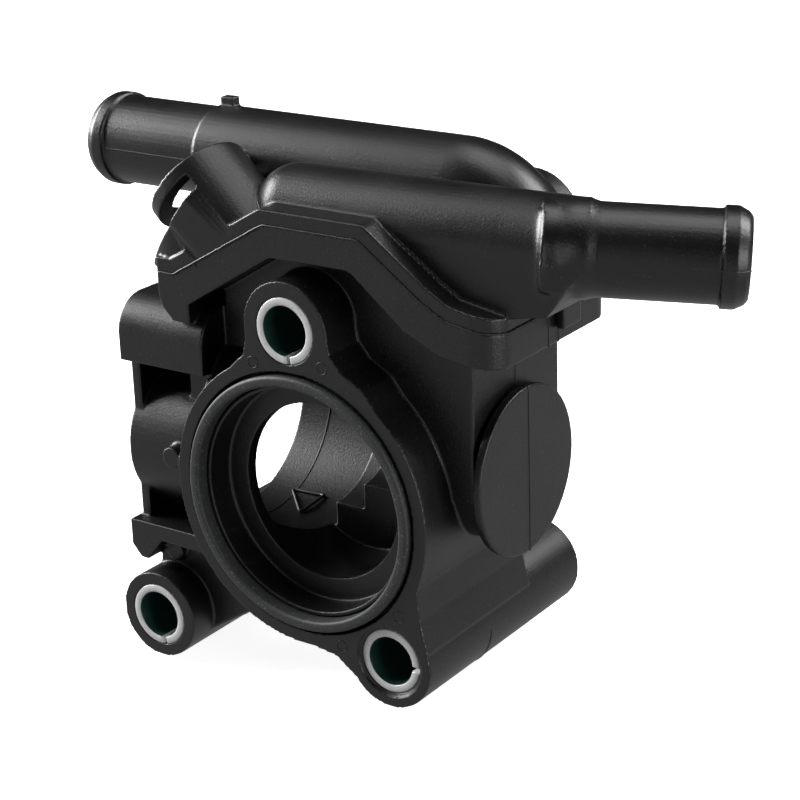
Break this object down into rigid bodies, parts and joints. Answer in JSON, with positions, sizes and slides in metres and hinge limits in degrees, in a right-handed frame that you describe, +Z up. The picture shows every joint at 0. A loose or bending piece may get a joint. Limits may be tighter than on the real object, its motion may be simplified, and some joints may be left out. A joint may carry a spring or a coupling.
{
  "type": "coolant flange",
  "caption": "Moulded black plastic engine coolant flange with a round gasketed bore, steel-sleeved bolt ears, side port, sensor socket and two beaded hose nozzles.",
  "frame": {"origin": "centre of the main bore on the front sealing plane", "axes": "-Y out of the sealing face towards the engine, +X towards the right hose nozzle, +Z up to the cover"},
  "size_m": [0.1381, 0.052, 0.1018],
  "materials": {
    "black_plastic": "satin, glass filled",
    "sleeve_steel": "zinc plated",
    "gasket_rubber": "matte, moulded"
  },
  "bodies": {
    "root": {"lower_housing": "black_plastic", "upper_cover": "black_plastic", "top_sleeve": "sleeve_steel", "left_sleeve": "sleeve_steel", "right_sleeve": "sleeve_steel", "flange_gasket": "gasket_rubber"}
  },
  "joints": []
}
